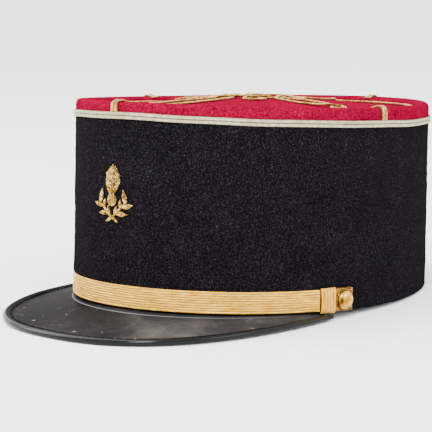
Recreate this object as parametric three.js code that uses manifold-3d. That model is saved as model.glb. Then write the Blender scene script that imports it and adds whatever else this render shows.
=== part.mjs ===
// A stiff oval cap with a leather peak: dark cloth band, red crown with a rolled rim, pale braid on the
// seam between them, gold braid ornament on the crown, gold chin strap with sliders and domed buttons.
// Millimetres, +Z up. The front faces -Y and the wearer's left is +X. The cap stands on the floor at
// z = 0, on the edge of its peak and the back of its band, so the band leans back by a small angle.
// An angle round the cap is 0 at the front and grows towards the wearer's left.
import * as THREE from "three";
import Module from "manifold-3d";
import { mergeVertices } from "three/addons/utils/BufferGeometryUtils.js";

const wasm = await Module();
wasm.setup();
const RAD = Math.PI / 180;

// Band
const HALF_WIDTH = 81.5; // outer, side to side
const HALF_LENGTH = 106.2; // outer, front to back, at the seam
const FOOT_FLARE = 1.5; // how much further the foot reaches than the seam, at the front and back
const LEAN_DEG = 2.2; // the band leans back by this much
const BAND_WALL = 3;
const SEAM_FRONT = 98.7; // height of the band's upper edge at the front, side and back
const SEAM_SIDE = 90.9;
const SEAM_BACK = 87.1;
const FOOT_FRONT_LIFT = 8.2; // how far the band's lower edge is off the floor at the front
const FOOT_ROUND = 0.9; // radius of the turned cloth at the lower edge

// Crown
const CROWN_WALL = 2;
const RIM_FRONT = 4.8; // height of the rolled rim above the pale braid at the front, side and back
const RIM_SIDE = 6.5;
const RIM_BACK = 7;
const RIM_WIDTH = 7.4; // from the wall in to the seam of the top
const RIM_DROP = 3.6; // the top's edge lies this far below the crest of the rim
const TOP_DOME = 5.6; // the top swells by this much at its middle

// Braids
const CLEARANCE = 0.3; // gap between pieces that touch
const SEAM_BRAID_WIDTH = 3.5;
const SEAM_BRAID_THICK = 0.8;
const RING_BRAID_WIDTH = 2.4;
const RING_BRAID_THICK = 1.1;
const RIM_BRAID_WIDTH = 5;
const RIM_BRAID_THICK = 0.9;
const KNOT_BRAID_WIDTH = 2.4;
const KNOT_BRAID_THICK = 1.1;
const KNOT_START = 0.15; // how far out from the top's middle each loop begins, as a share of its half size
const KNOT_SHARE_FRONT = 0.92; // and the same share for the tip of each long loop
const KNOT_SHARE_BACK = 0.75;
const KNOT_SHARE_SIDE = 0.75;
const KNOT_SHARE_SHORT = 0.3; // tip of the short loops between them

// Peak
const PEAK_REACH = 42.4; // from the foot of the band to the front of the binding
const PEAK_END_DEG = 70.5; // angle round the cap where the peak ends on each side
const PEAK_THICK = 2;
const PEAK_SQUARENESS = 2.4; // 2 is an ellipse in plan, and a larger number is squarer
const PEAK_TUCK = 2.6; // how far the peak reaches in under the band
const BINDING_WIDTH = 4;
const BINDING_HEIGHT = 3.3;
const BINDING_END_HEIGHT = 2.3; // it flattens to this at its ends, under the sliders
const BINDING_END_LIFT = 0.85; // and its ends are off the floor by this much

// Chin strap, sliders and buttons
const STRAP_HEIGHT = 10.7;
const STRAP_THICK = 0.9;
const STRAP_LIFT = 0.8; // from the band's lower edge up to the strap
const STRAP_END_DEG = 78;
const TAB_EXTRA = 0.2; // the end tab is this much taller than the strap, above and below
const SLIDER_DEG = 69.7; // angle of the slider's middle
const SLIDER_WIDTH = 8.6;
const SLIDER_THICK = 0.6;
const BUTTON_DEG = 75;
const BUTTON_RADIUS = 4.8;
const BUTTON_HEIGHT = 3.4;

// Badge
const BADGE_HEIGHT = 27.5; // of the whole embroidered figure
const BADGE_FOOT = 49.2; // height of its lower end above the floor
const BADGE_RELIEF = 1.3;

const STEPS_ROUND = 64;
const LEAN = Math.tan(LEAN_DEG * RAD);

// Materials
const material = (color, roughness, metalness = 0) => new THREE.MeshStandardMaterial({ color, roughness, metalness });
const darkCloth = material(0x211f25, 0.95);
const redCloth = material(0xc3133f, 0.92);
const paleBraid = material(0xcfc8b6, 0.6);
const goldBraid = material(0xd9b676, 0.5, 0.3);
const blackLeather = material(0x2b2727, 0.4);
const gildedBrass = material(0xd9a441, 0.25, 1);

// Quadratic in the front-to-back share s, from -1 at the front to 1 at the back
const threeHeights = (front, side, back) => (s) => side + ((back - front) / 2) * s + ((front + back) / 2 - side) * s * s;
const seamAt = threeHeights(SEAM_FRONT, SEAM_SIDE, SEAM_BACK);
const rimAt = threeHeights(RIM_FRONT, RIM_SIDE, RIM_BACK);
const footAt = (s) => FOOT_FRONT_LIFT * ((1 - s) / 2) ** 2;
const crestAt = (s) => seamAt(s) + SEAM_BRAID_WIDTH + rimAt(s);
const topEdgeAt = (s) => crestAt(s) - RIM_DROP;
const shareOf = (angle) => -Math.cos(angle);

// Point at an angle and height, moved out from the wall's face by a distance along its normal
function wallPoint(angle, height, out) {
  const halfLength = HALF_LENGTH + FOOT_FLARE * (1 - height / SEAM_SIDE);
  const side = Math.sin(angle);
  const fore = Math.cos(angle);
  const normal = new THREE.Vector2(halfLength * side, -HALF_WIDTH * fore).normalize();
  return new THREE.Vector3(
    HALF_WIDTH * side + out * normal.x,
    -halfLength * fore + LEAN * height + out * normal.y,
    height,
  );
}

// Angle that a length along the wall takes up at an angle
const angleFor = (length, angle) => length / Math.hypot(HALF_WIDTH * Math.cos(angle), HALF_LENGTH * Math.sin(angle));

// The shared facet angles between two ends, so that pieces on the wall have the wall's own facets
function anglesBetween(start, end, extra = []) {
  const step = (2 * Math.PI) / STEPS_ROUND;
  const found = [start, end, ...extra];
  for (let k = Math.ceil(start / step); k * step < end; k += 1) found.push(k * step);
  found.sort((a, b) => a - b);
  return found.filter((a, i) => i === 0 || a - found[i - 1] > step / 50);
}
const fullTurn = Array.from({ length: STEPS_ROUND }, (_, k) => (2 * Math.PI * k) / STEPS_ROUND);

function signedVolume(positions, index) {
  const [a, b, c] = [new THREE.Vector3(), new THREE.Vector3(), new THREE.Vector3()];
  let sum = 0;
  for (let i = 0; i < index.length; i += 3) {
    a.fromArray(positions, index[i] * 3);
    b.fromArray(positions, index[i + 1] * 3);
    c.fromArray(positions, index[i + 2] * 3);
    sum += a.dot(b.cross(c));
  }
  return sum / 6;
}

// Closed body through rings of points: joined end to end if closed, and capped if not
function skin(rings, closed) {
  const around = rings[0].length;
  const points = rings.flat();
  const index = [];
  const addTriangle = (...corners) => {
    const [p, q, r] = corners.map((c) => points[c]);
    const same = [p.distanceTo(q), q.distanceTo(r), r.distanceTo(p)].some((d) => d < 1e-6);
    if (!same) index.push(...corners);
  };
  const spans = closed ? rings.length : rings.length - 1;
  for (let i = 0; i < spans; i += 1) {
    const near = i * around;
    const far = ((i + 1) % rings.length) * around;
    for (let j = 0; j < around; j += 1) {
      const k = (j + 1) % around;
      addTriangle(near + j, far + j, far + k);
      addTriangle(near + j, far + k, near + k);
    }
  }
  if (!closed) {
    for (const [ring, flip] of [[0, false], [rings.length - 1, true]]) {
      for (const [a, b, c] of triangulate(rings[ring])) {
        const corners = [a, b, c].map((n) => ring * around + n);
        addTriangle(...(flip ? corners.reverse() : corners));
      }
    }
  }
  const positions = points.flatMap((p) => p.toArray());
  if (signedVolume(positions, index) < 0) index.reverse();
  const geometry = new THREE.BufferGeometry();
  geometry.setAttribute("position", new THREE.Float32BufferAttribute(positions, 3));
  geometry.setIndex(index);
  return mergeVertices(geometry, 1e-4);
}

// Triangles of one flat ring, wound so that they close the first end of a skin
function triangulate(ring) {
  const normal = new THREE.Vector3();
  ring.forEach((p, i) => normal.add(new THREE.Vector3().crossVectors(p, ring[(i + 1) % ring.length])));
  normal.normalize();
  const across = new THREE.Vector3().subVectors(ring[1], ring[0]).normalize();
  const along = new THREE.Vector3().crossVectors(normal, across);
  const flat = ring.map((p) => new THREE.Vector2(p.dot(across), p.dot(along)));
  return THREE.ShapeUtils.triangulateShape(flat, []);
}

// Cross-sections of a flat braid with two ribs and a groove, and of the knot's plain braid, as shares of
// their width and thickness
const BRAID_SECTION = [
  { across: -0.5, out: 0 },
  { across: -0.5, out: 0.55 },
  { across: -0.27, out: 1 },
  { across: 0, out: 0.6 },
  { across: 0.27, out: 1 },
  { across: 0.5, out: 0.55 },
  { across: 0.5, out: 0 },
];

const KNOT_SECTION = [
  { across: -0.5, out: 0 },
  { across: -0.32, out: 1 },
  { across: 0.32, out: 1 },
  { across: 0.5, out: 0 },
];

// A body whose section at each angle is a list of [out, height] on the wall
const aroundWall = (angles, sectionAt, closed = false) =>
  skin(angles.map((angle) => sectionAt(angle).map(([out, height]) => wallPoint(angle, height, out))), closed);

function bandGeometry() {
  return aroundWall(fullTurn, (angle) => {
    const foot = footAt(shareOf(angle));
    const top = seamAt(shareOf(angle)) + SEAM_BRAID_WIDTH / 2;
    const turned = FOOT_ROUND * (1 - Math.SQRT1_2);
    return [
      [-BAND_WALL, top],
      [-BAND_WALL, foot],
      [-FOOT_ROUND, foot],
      [-turned, foot + turned],
      [0, foot + FOOT_ROUND],
      [0, (foot + top) / 2],
      [0, top],
    ];
  }, true);
}

// Outer profile of the rolled rim: inwards as a share of the rim's width, height as a share of its height
const RIM_PROFILE = [
  { inward: 0, height: 0 },
  { inward: 0, height: 0.6 },
  { inward: 0.04, height: 0.81 },
  { inward: 0.13, height: 0.94 },
  { inward: 0.28, height: 1 },
  { inward: 0.46, height: 0.99 },
  { inward: 0.7, height: 0.93 },
  { inward: 0.93, height: 0.82 },
];

// The rim's outer profile at an angle, from the band's upper edge to the seam of the top
function rimProfile(angle) {
  const s = shareOf(angle);
  const base = seamAt(s) + SEAM_BRAID_WIDTH;
  const rolled = RIM_PROFILE.map(({ inward, height }) => [-inward * RIM_WIDTH, base + height * rimAt(s)]);
  return [...rolled, [-RIM_WIDTH, topEdgeAt(s)]];
}

function crownRimGeometry() {
  return aroundWall(fullTurn, (angle) => {
    const s = shareOf(angle);
    const low = seamAt(s) + SEAM_BRAID_WIDTH / 2 + CLEARANCE;
    const under = topEdgeAt(s) - CROWN_WALL;
    return [
      [0, low],
      ...rimProfile(angle),
      [-RIM_WIDTH, under],
      [-RIM_WIDTH / 2, under + RIM_DROP / 4],
      [-CROWN_WALL - CROWN_WALL / 2, under],
      [-CROWN_WALL, under - CROWN_WALL / 4],
      [-CROWN_WALL, low],
    ];
  }, true);
}

// Centre and half sizes of the top
const topInset = RIM_WIDTH + CLEARANCE;
const topHalfWidth = HALF_WIDTH - topInset;
const topHalfLength = HALF_LENGTH - topInset;
const topCentreY = LEAN * topEdgeAt(0);

// Height of the top at shares of its half width and half length
const topHeight = (u, v) => topEdgeAt(v) + TOP_DOME * Math.max(0, 1 - u * u - v * v) ** 1.5;

function crownTopGeometry() {
  const upperShares = [0, 0.2, 0.4, 0.6, 0.8, 1];
  const lowerShares = [1, 0.8, 0];
  const rings = fullTurn.map((angle) => {
    const edge = wallPoint(angle, topEdgeAt(shareOf(angle)), -topInset);
    const at = (share, lower) => {
      const p = new THREE.Vector3(0, topCentreY, 0).lerp(edge, share);
      return p.setZ(topHeight(share * Math.sin(angle), share * shareOf(angle)) - lower);
    };
    return [...upperShares.map((share) => at(share, 0)), ...lowerShares.map((share) => at(share, CROWN_WALL))];
  });
  return skin(rings, true);
}

function seamBraidGeometry() {
  return aroundWall(fullTurn, (angle) => {
    const middle = seamAt(shareOf(angle)) + SEAM_BRAID_WIDTH / 2;
    return BRAID_SECTION.map(({ across, out }) => [CLEARANCE + out * SEAM_BRAID_THICK, middle + across * SEAM_BRAID_WIDTH]);
  }, true);
}

// Gold braid that lies along the seam between the rim and the top
function ringBraidGeometry() {
  return aroundWall(fullTurn, (angle) => {
    const reach = Math.hypot(topHalfWidth * Math.sin(angle), topHalfLength * Math.cos(angle));
    return BRAID_SECTION.map(({ across, out }) => {
      const inward = (across + 0.5) * RING_BRAID_WIDTH;
      const share = 1 - inward / reach;
      const seat = topHeight(share * Math.sin(angle), share * shareOf(angle)) + CLEARANCE;
      return [-topInset - inward, seat + out * RING_BRAID_THICK];
    });
  }, true);
}

// Gold braid that climbs the rim at one angle, from the pale braid to the inner edge of the rim
function rimBraidGeometry(middle) {
  const path = rimProfile(middle).slice(0, -1).map(([out, height]) => new THREE.Vector2(out, height));
  path[0].y += CLEARANCE;
  const rings = path.map((p, i) => {
    const before = path[Math.max(0, i - 1)];
    const after = path[Math.min(path.length - 1, i + 1)];
    const away = new THREE.Vector2(after.y - before.y, before.x - after.x).normalize();
    return BRAID_SECTION.map(({ across, out }) => {
      const angle = middle + angleFor(across * RIM_BRAID_WIDTH, middle);
      const slide = crestAt(shareOf(angle)) - crestAt(shareOf(middle));
      const rise = CLEARANCE + out * RIM_BRAID_THICK;
      return wallPoint(angle, p.y + slide + away.y * rise, p.x + away.x * rise);
    });
  });
  return skin(rings, false);
}

// Gold knot: half of one loop. "along" is the share of the way from the loop's start out to its tip,
// "aside" is a share of the top's half size across that, and "over" is 1 where the strand passes over
// another.
const LONG_LOOP = [
  { along: 0, aside: -0.055, over: 1 },
  { along: 0.1, aside: 0.02, over: 1 },
  { along: 0.26, aside: 0.07, over: 0 },
  { along: 0.5, aside: 0.085, over: 0 },
  { along: 0.73, aside: 0.06, over: 0.4 },
  { along: 0.86, aside: 0.01, over: 1 },
  { along: 0.94, aside: -0.04, over: 0.5 },
];
const SHORT_LOOP = [
  { along: 0, aside: -0.055, over: 1 },
  { along: 0.28, aside: 0.015, over: 1 },
  { along: 0.6, aside: 0.06, over: 0.2 },
  { along: 0.88, aside: 0.05, over: 0 },
];
const SHORT = { half: SHORT_LOOP, tip: KNOT_SHARE_SHORT };
const SIDE = { half: LONG_LOOP, tip: KNOT_SHARE_SIDE };
const FRONT = { half: LONG_LOOP, tip: KNOT_SHARE_FRONT };
const BACK = { half: LONG_LOOP, tip: KNOT_SHARE_BACK };
const LOOPS = [FRONT, SHORT, SIDE, SHORT, BACK, SHORT, SIDE, SHORT];

// Control points of the knot's line: shares of the top, and lift as a share of the braid
function knotPoints() {
  const points = [];
  LOOPS.forEach(({ half, tip }, turn) => {
    const direction = (turn * 2 * Math.PI) / LOOPS.length;
    const put = (way, aside, over) => {
      const along = KNOT_START + way * (tip - KNOT_START);
      const u = along * Math.sin(direction) + aside * Math.cos(direction);
      const v = -along * Math.cos(direction) + aside * Math.sin(direction);
      points.push(new THREE.Vector3(u, v, over));
    };
    half.forEach((p) => put(p.along, p.aside, 0));
    put(1, 0, 0);
    [...half].reverse().forEach((p) => put(p.along, -p.aside, p.over));
  });
  return points;
}

const KNOT_STEPS = 240;
function knotGeometry() {
  const line = new THREE.CatmullRomCurve3(knotPoints(), true, "centripetal");
  const place = (t) => {
    const p = line.getPoint(((t % 1) + 1) % 1);
    const lift = CLEARANCE + p.z * (KNOT_BRAID_THICK + CLEARANCE);
    return new THREE.Vector3(p.x * topHalfWidth, topCentreY + p.y * topHalfLength, topHeight(p.x, p.y) + lift);
  };
  const rings = Array.from({ length: KNOT_STEPS }, (_, i) => {
    const centre = place(i / KNOT_STEPS);
    const ahead = place((i + 0.5) / KNOT_STEPS).sub(place((i - 0.5) / KNOT_STEPS));
    const across = new THREE.Vector3(ahead.y, -ahead.x, 0).normalize();
    return KNOT_SECTION.map((corner) =>
      centre
        .clone()
        .addScaledVector(across, corner.across * KNOT_BRAID_WIDTH)
        .add(new THREE.Vector3(0, 0, corner.out * KNOT_BRAID_THICK)),
    );
  });
  return skin(rings, true);
}

// Line through the middle of the peak's binding, in plan, from -90 at one end to 90 at the other
const peakEnd = PEAK_END_DEG * RAD;
const bindingEnd = wallPoint(peakEnd, footAt(shareOf(peakEnd)), CLEARANCE + BINDING_WIDTH / 2);
const bindingFrontY = wallPoint(0, footAt(-1), PEAK_REACH - BINDING_WIDTH / 2).y;
function bindingLine(turn) {
  const side = Math.sin(turn);
  const fore = Math.cos(turn);
  const power = 2 / PEAK_SQUARENESS;
  return new THREE.Vector2(
    bindingEnd.x * Math.sign(side) * Math.abs(side) ** power,
    bindingEnd.y - (bindingEnd.y - bindingFrontY) * Math.max(0, fore) ** power,
  );
}

// Turns along the binding, closer together near its ends, where the line bends most
const PEAK_STEPS = 40;
const peakTurns = Array.from({ length: PEAK_STEPS + 1 }, (_, k) => {
  const share = (2 * k) / PEAK_STEPS - 1;
  return (Math.PI / 2) * Math.sign(share) * (1 - (1 - Math.abs(share)) ** 1.25);
});

// Unit vector out of the binding line, in plan
function bindingOut(turn) {
  const step = 0.004;
  const low = bindingLine(Math.max(-Math.PI / 2, turn - step));
  const high = bindingLine(Math.min(Math.PI / 2, turn + step));
  return new THREE.Vector2(high.y - low.y, low.x - high.x).normalize();
}

// Section of the binding, as shares of its width and height
const BINDING_SECTION = [
  { across: -0.5, up: 0.4 },
  { across: -0.32, up: 0.06 },
  { across: -0.1, up: 0 },
  { across: 0.22, up: 0 },
  { across: 0.44, up: 0.16 },
  { across: 0.5, up: 0.5 },
  { across: 0.36, up: 0.86 },
  { across: 0.08, up: 1 },
  { across: -0.28, up: 0.94 },
  { across: -0.5, up: 0.72 },
];

function bindingGeometry() {
  const rings = peakTurns.map((turn) => {
    const middle = bindingLine(turn);
    const out = bindingOut(turn);
    const fullness = Math.min(1, 2.5 * Math.cos(turn));
    const height = THREE.MathUtils.lerp(BINDING_END_HEIGHT, BINDING_HEIGHT, fullness);
    const lift = BINDING_END_LIFT * Math.sin(turn) ** 2;
    return BINDING_SECTION.map(({ across, up }) => {
      const p = middle.clone().addScaledVector(out, across * BINDING_WIDTH);
      return new THREE.Vector3(p.x, p.y, lift + up * height);
    });
  });
  return skin(rings, false);
}

// Where the peak's upper face lies from the band to the binding: share of the way, and share of the fall
const PEAK_FALL = [
  { way: 0, fall: 0 },
  { way: 0.1, fall: 0.03 },
  { way: 0.18, fall: 0.2 },
  { way: 0.4, fall: 0.45 },
  { way: 0.7, fall: 0.76 },
  { way: 1, fall: 1 },
];

function peakGeometry() {
  const outerTop = BINDING_HEIGHT * 0.5 + PEAK_THICK / 2;
  const rings = [];
  for (const turn of peakTurns) {
    const angle = (turn / (Math.PI / 2)) * peakEnd;
    const foot = footAt(shareOf(angle));
    const inner = wallPoint(angle, foot - CLEARANCE, -PEAK_TUCK);
    const edge = bindingLine(turn).addScaledVector(bindingOut(turn), -BINDING_WIDTH / 2 - CLEARANCE);
    const outer = new THREE.Vector3(edge.x, edge.y, outerTop);
    const onWall = wallPoint(angle, foot, 0);
    const clear = new THREE.Vector2(outer.x - onWall.x, outer.y - onWall.y).length();
    const outwards = Math.hypot(outer.x, outer.y) > Math.hypot(onWall.x, onWall.y);
    if (!outwards || clear < PEAK_THICK) continue;
    const upper = PEAK_FALL.map(({ way, fall }) => {
      const p = inner.clone().lerp(outer, way);
      return p.setZ(inner.z + (outerTop - inner.z) * fall);
    });
    const lower = upper.map((p) => p.clone().setZ(p.z - PEAK_THICK)).reverse();
    rings.push([...upper, ...lower]);
  }
  return skin(rings, false);
}

// How far the chin strap's back and front face stand off the wall. The back rises where a slider passes
// behind it, and the front stays raised from there to the end, where the strap is doubled.
const sliderAngle = SLIDER_DEG * RAD;
const sliderHalf = angleFor(SLIDER_WIDTH / 2, sliderAngle);
const SLIDER_MARGIN = 0.2; // the raised part goes past the slider by this share of its half width
const RAMP = 0.5; // and falls over this share
const raisedShare = (past) => THREE.MathUtils.clamp((1 + SLIDER_MARGIN + RAMP - past) / RAMP, 0, 1);
function strapBack(angle) {
  const past = Math.abs(Math.abs(angle) - sliderAngle) / sliderHalf;
  return CLEARANCE + raisedShare(past) * (SLIDER_THICK + CLEARANCE);
}
function strapFront(angle) {
  const past = Math.max(0, sliderAngle - Math.abs(angle)) / sliderHalf;
  return CLEARANCE + raisedShare(past) * (SLIDER_THICK + CLEARANCE) + STRAP_THICK;
}

// Lower and upper edge of the strap at an angle; the tab past each slider is a little taller
function strapEdges(angle) {
  const past = (Math.abs(angle) - sliderAngle) / sliderHalf;
  const extra = TAB_EXTRA * THREE.MathUtils.clamp(past, 0, 1);
  const low = footAt(shareOf(angle)) + STRAP_LIFT;
  return [low - extra, low + STRAP_HEIGHT + extra];
}

function chinStrapGeometry() {
  const end = STRAP_END_DEG * RAD;
  const far = 1 + SLIDER_MARGIN;
  const breaks = [-far - RAMP, -far, 0, 1, far, far + RAMP].flatMap((n) => {
    const angle = sliderAngle + n * sliderHalf;
    return [angle, -angle];
  });
  const bevel = STRAP_THICK / 4;
  return aroundWall(anglesBetween(-end, end, breaks), (angle) => {
    const back = strapBack(angle);
    const front = strapFront(angle);
    const [low, high] = strapEdges(angle);
    return [
      [back, low],
      [front - bevel, low],
      [front, low + bevel],
      [front, high - bevel],
      [front - bevel, high],
      [back, high],
    ];
  });
}

// Slider: a flat loop of braid that goes right round the strap, behind it too
function sliderGeometry(sign) {
  const angles = anglesBetween(sliderAngle - sliderHalf, sliderAngle + sliderHalf);
  const corners = (angle) => {
    const [low, high] = strapEdges(angle);
    const back = strapBack(angle) - CLEARANCE;
    const front = strapFront(angle) + CLEARANCE;
    return [[back, low - CLEARANCE], [front, low - CLEARANCE], [front, high + CLEARANCE], [back, high + CLEARANCE]];
  };
  const away = [[-1, -1], [1, -1], [1, 1], [-1, 1]];
  const rings = away.map((direction, n) => {
    const at = (angle, thick) => {
      const [out, height] = corners(angle)[n];
      return wallPoint(sign * angle, height + direction[1] * thick, out + direction[0] * thick);
    };
    const inside = angles.map((angle) => at(angle, 0));
    const outside = angles.map((angle) => at(angle, SLIDER_THICK)).reverse();
    return [...inside, ...outside];
  });
  return skin(rings, true);
}

// Domed button: radius and height as shares
const BUTTON_PROFILE = [
  { radius: 0, height: 0 },
  { radius: 0.86, height: 0 },
  { radius: 0.98, height: 0.1 },
  { radius: 1, height: 0.22 },
  { radius: 0.95, height: 0.45 },
  { radius: 0.8, height: 0.7 },
  { radius: 0.55, height: 0.89 },
  { radius: 0.28, height: 0.98 },
  { radius: 0, height: 1 },
];

function buttonMesh(name, sign) {
  const profile = BUTTON_PROFILE.map(({ radius, height }) => new THREE.Vector2(radius * BUTTON_RADIUS, height * BUTTON_HEIGHT));
  const mesh = new THREE.Mesh(new THREE.LatheGeometry(profile, 20), gildedBrass);
  const angle = sign * BUTTON_DEG * RAD;
  const [low, high] = strapEdges(angle);
  const height = (low + high) / 2;
  const seat = strapFront(angle) + CLEARANCE;
  const near = wallPoint(angle, height, seat);
  const outward = wallPoint(angle, height, seat + 1).sub(near);
  mesh.position.copy(near);
  mesh.quaternion.setFromUnitVectors(new THREE.Vector3(0, 1, 0), outward);
  mesh.name = name;
  return mesh;
}

// Badge: leaves and stem of one spray, as shares of the badge's height from the crossing of the stems.
// The other spray mirrors them.
const SPRAY_LEAVES = [
  { baseX: 0.3, baseZ: 0.26, tipX: 0.25, tipZ: 0.495, half: 0.047 },
  { baseX: 0.24, baseZ: 0.19, tipX: 0.444, tipZ: 0.244, half: 0.045 },
  { baseX: 0.2, baseZ: 0.16, tipX: 0.182, tipZ: 0.309, half: 0.036 },
  { baseX: 0.1, baseZ: 0.08, tipX: 0.335, tipZ: 0.073, half: 0.044 },
  { baseX: 0.07, baseZ: 0.04, tipX: 0.095, tipZ: 0.2, half: 0.034 },
];
const SPRAY_STEM = [
  { baseX: -0.138, baseZ: -0.07, tipX: 0.05, tipZ: 0.05, half: 0.026 },
  { baseX: -0.03, baseZ: -0.02, tipX: 0.34, tipZ: 0.31, half: 0.022 },
];
const CROSSING_ABOVE_FOOT = 0.084;
const BALL = { z: 0.313, radius: 0.105 };

// Outline of the flame above the ball: half width at a height from the crossing
const FLAME = [
  { half: 0.05, z: 0.39 },
  { half: 0.095, z: 0.473 },
  { half: 0.142, z: 0.545 },
  { half: 0.153, z: 0.618 },
  { half: 0.138, z: 0.709 },
  { half: 0.08, z: 0.81 },
  { half: 0, z: 0.916 },
];

function solidOf(geometry) {
  return new wasm.Manifold(
    new wasm.Mesh({
      numProp: 3,
      vertProperties: new Float32Array(geometry.attributes.position.array),
      triVerts: new Uint32Array(geometry.index.array),
    }),
  );
}

// Flat-backed pad over an outline of shares in the badge's plane, with its upper face drawn in
const PAD_LEVELS = [
  { spread: 1, rise: 0 },
  { spread: 1, rise: 0.5 },
  { spread: 0.55, rise: 1 },
];
function pad(outline, relief) {
  const points = outline.map(([x, z]) => new THREE.Vector2(x, z).multiplyScalar(BADGE_HEIGHT));
  const middle = points.reduce((sum, p) => sum.add(p), new THREE.Vector2()).divideScalar(points.length);
  const rings = PAD_LEVELS.map(({ spread, rise }) =>
    points.map((p) => {
      const q = middle.clone().lerp(p, spread);
      return new THREE.Vector3(q.x, q.y, rise * relief);
    }),
  );
  return solidOf(skin(rings, false));
}

// Width along a leaf, as a share of its half width
const LEAF_WIDTHS = [
  { along: 0, wide: 0.4 },
  { along: 0.4, wide: 1 },
  { along: 0.75, wide: 0.75 },
];
function leafPad({ baseX, baseZ, tipX, tipZ, half }, mirror, relief) {
  const length = Math.hypot(tipX - baseX, tipZ - baseZ);
  const [alongX, alongZ] = [(tipX - baseX) / length, (tipZ - baseZ) / length];
  const corner = (along, wide) => [
    mirror * (baseX + alongX * along * length - alongZ * wide * half),
    baseZ + alongZ * along * length + alongX * wide * half,
  ];
  const oneSide = LEAF_WIDTHS.map(({ along, wide }) => corner(along, -wide));
  const otherSide = [...LEAF_WIDTHS].reverse().map(({ along, wide }) => corner(along, wide));
  return pad([...oneSide, corner(1, 0), ...otherSide], relief);
}

// Pads joined into one body and laid on the front of the band
function embroidered(pads) {
  const { vertProperties, triVerts } = pads.reduce((sum, one) => sum.add(one)).getMesh();
  const positions = [];
  for (let i = 0; i < vertProperties.length; i += 3) {
    const [x, z, rise] = vertProperties.slice(i, i + 3);
    const height = BADGE_FOOT + CROSSING_ABOVE_FOOT * BADGE_HEIGHT + z;
    positions.push(...wallPoint(angleFor(x, 0), height, CLEARANCE + rise).toArray());
  }
  const geometry = new THREE.BufferGeometry();
  geometry.setAttribute("position", new THREE.Float32BufferAttribute(positions, 3));
  geometry.setIndex(Array.from(triVerts));
  return geometry;
}

function spraysGeometry() {
  const pads = [];
  for (const mirror of [-1, 1]) {
    SPRAY_LEAVES.forEach((leaf, n) => pads.push(leafPad(leaf, mirror, BADGE_RELIEF * (1 - 0.04 * n))));
    SPRAY_STEM.forEach((stem, n) => pads.push(leafPad(stem, mirror, BADGE_RELIEF * (0.66 + 0.05 * mirror + 0.03 * n))));
  }
  return embroidered(pads);
}

function flameGeometry() {
  const ballSides = 12;
  const ball = Array.from({ length: ballSides }, (_, k) => {
    const turn = (2 * Math.PI * k) / ballSides;
    return [BALL.radius * Math.cos(turn), BALL.z + BALL.radius * Math.sin(turn)];
  });
  const right = FLAME.map(({ half, z }) => [half, z]);
  const left = FLAME.slice(0, -1).reverse().map(({ half, z }) => [-half, z]);
  return embroidered([pad(ball, BADGE_RELIEF), pad([...right, ...left], 0.95 * BADGE_RELIEF)]);
}

const cap = new THREE.Group();
const add = (name, geometry, finish) => {
  const mesh = new THREE.Mesh(geometry, finish);
  mesh.name = name;
  cap.add(mesh);
};
add("band", bandGeometry(), darkCloth);
add("crown_rim", crownRimGeometry(), redCloth);
add("crown_top", crownTopGeometry(), redCloth);
add("seam_braid", seamBraidGeometry(), paleBraid);
add("ring_braid", ringBraidGeometry(), goldBraid);
add("knot", knotGeometry(), goldBraid);
const RIM_BRAIDS = { front: 0, left: 90, back: 180, right: 270 };
for (const [place, degrees] of Object.entries(RIM_BRAIDS)) {
  add(`rim_braid_${place}`, rimBraidGeometry(degrees * RAD), goldBraid);
}
add("badge_flame", flameGeometry(), goldBraid);
add("badge_sprays", spraysGeometry(), goldBraid);
add("peak", peakGeometry(), blackLeather);
add("peak_binding", bindingGeometry(), blackLeather);
add("chin_strap", chinStrapGeometry(), goldBraid);
for (const [side, sign] of [["left", 1], ["right", -1]]) {
  add(`strap_slider_${side}`, sliderGeometry(sign), goldBraid);
  cap.add(buttonMesh(`button_${side}`, sign));
}

// The origin is the middle of the cap's outline on the floor
cap.updateMatrixWorld(true);
const outline = new THREE.Box3().setFromObject(cap);
cap.position.y = -(outline.min.y + outline.max.y) / 2;
export default cap;
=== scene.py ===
# The looks of a stiff oval cap with a leather peak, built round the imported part. Sizes are millimetres
# in the part's frame until a mesh is made. An angle round the cap is 0 at the front (-Y) and grows
# towards the wearer's left (+X).
import math
import bpy
import numpy as np
from mathutils import Matrix


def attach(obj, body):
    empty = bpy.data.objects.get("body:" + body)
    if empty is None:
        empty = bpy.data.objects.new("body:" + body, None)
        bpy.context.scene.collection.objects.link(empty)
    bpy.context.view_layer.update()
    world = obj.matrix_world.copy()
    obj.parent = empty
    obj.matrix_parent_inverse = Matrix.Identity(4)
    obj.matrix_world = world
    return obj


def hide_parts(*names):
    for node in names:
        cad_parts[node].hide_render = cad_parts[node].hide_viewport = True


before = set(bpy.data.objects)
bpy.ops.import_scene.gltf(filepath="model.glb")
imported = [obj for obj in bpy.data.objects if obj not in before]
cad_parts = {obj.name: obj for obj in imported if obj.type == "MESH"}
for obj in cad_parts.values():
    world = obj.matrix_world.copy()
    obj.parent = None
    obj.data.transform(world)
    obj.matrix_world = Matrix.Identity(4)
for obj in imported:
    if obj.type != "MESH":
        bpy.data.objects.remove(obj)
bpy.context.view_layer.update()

rng = np.random.default_rng(7)
MM = 0.001

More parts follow.
